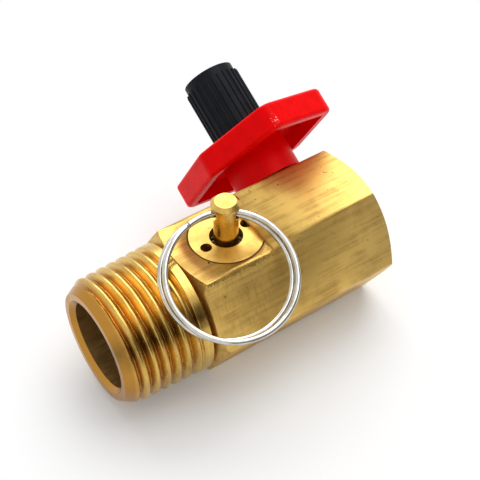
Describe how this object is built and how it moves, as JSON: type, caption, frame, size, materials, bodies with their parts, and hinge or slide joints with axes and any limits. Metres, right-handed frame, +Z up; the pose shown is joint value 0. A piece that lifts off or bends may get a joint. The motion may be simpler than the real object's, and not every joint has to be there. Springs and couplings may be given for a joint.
{
  "type": "air tank manifold",
  "caption": "Hexagonal brass manifold for a portable air tank, with a male pipe thread, a safety valve with pull ring, a shut-off valve with knob, a capped filling valve and a hose port",
  "frame": {"origin": "On the bar's centre line, in the end face of the male tank thread", "axes": "+X runs along the bar from the tank thread to its closed end; +Z is up, square to the flat with the safety valve and away from the flat with the hose port; +Y points to the back, the side of the knob and the filling valve"},
  "size_m": [0.0509, 0.048, 0.034],
  "materials": {
    "brass_bar": "drawn and milled, bare",
    "brass_turned": "turned, bare",
    "ring_steel": "nickel plated wire",
    "spring_steel": "bright wire",
    "knob_red": "gloss",
    "cap_black": "satin",
    "rubber": "matt"
  },
  "bodies": {
    "manifold": {"body": "brass_bar", "adjusting_plug": "brass_turned", "bonnet": "brass_turned", "bonnet_gasket": "rubber", "relief_spring": "spring_steel"},
    "relief_valve": {"relief_stem": "brass_turned", "relief_seal": "rubber"},
    "ring": {"pull_ring": "ring_steel"},
    "shutoff_seat": {"seat_holder": "brass_turned", "seat_washer": "rubber"},
    "shutoff_spindle": {"spindle": "brass_turned", "spindle_o_ring": "rubber", "knob": "knob_red", "knob_clip": "spring_steel", "core_barrel": "brass_turned", "core_gasket": "rubber", "core_spring": "spring_steel"},
    "core": {"core_pin": "brass_turned", "core_seal": "rubber"},
    "cap_disc": {"cap_gasket": "rubber"},
    "cap": {"valve_cap": "cap_black"}
  },
  "joints": [
    {"name": "relief_lift", "type": "slide", "parent": "manifold", "child": "relief_valve", "axis": [0, 0, 1], "range_m": [0, 0.0007], "stiffness_N_per_m": 2000, "springref_m": -0.003, "deforming": ["relief_spring"]},
    {"name": "ring_swing", "type": "hinge", "parent": "relief_valve", "child": "ring", "pos_m": [0.0243, 0, 0.015], "axis": [-0.8572, 0.515, 0], "range_deg": [0, 110]},
    {"name": "shutoff_lift", "type": "slide", "parent": "manifold", "child": "shutoff_seat", "axis": [0, 0.866, 0.5], "range_m": [0, 0.001]},
    {"name": "knob_turn", "type": "hinge", "parent": "shutoff_seat", "child": "shutoff_spindle", "pos_m": [0.0399, 0, 0], "axis": [0, 0.866, 0.5], "range_deg": [0, 360]},
    {"name": "core_press", "type": "slide", "parent": "shutoff_spindle", "child": "core", "axis": [0, -0.866, -0.5], "range_m": [0, 0.001], "stiffness_N_per_m": 300, "springref_m": -0.002},
    {"name": "cap_lift", "type": "slide", "parent": "shutoff_spindle", "child": "cap_disc", "axis": [0, 0.866, 0.5], "range_m": [0, 0.00396]},
    {"name": "cap_turn", "type": "hinge", "parent": "cap_disc", "child": "cap", "pos_m": [0.0399, 0, 0], "axis": [0, 0.866, 0.5], "range_deg": [0, 1800]}
  ],
  "couplings": [
    {"joint": "shutoff_lift", "follows": "knob_turn", "m_per_rad": 0.00015915},
    {"joint": "cap_turn", "follows": "cap_lift", "rad_per_m": 7916.4}
  ]
}
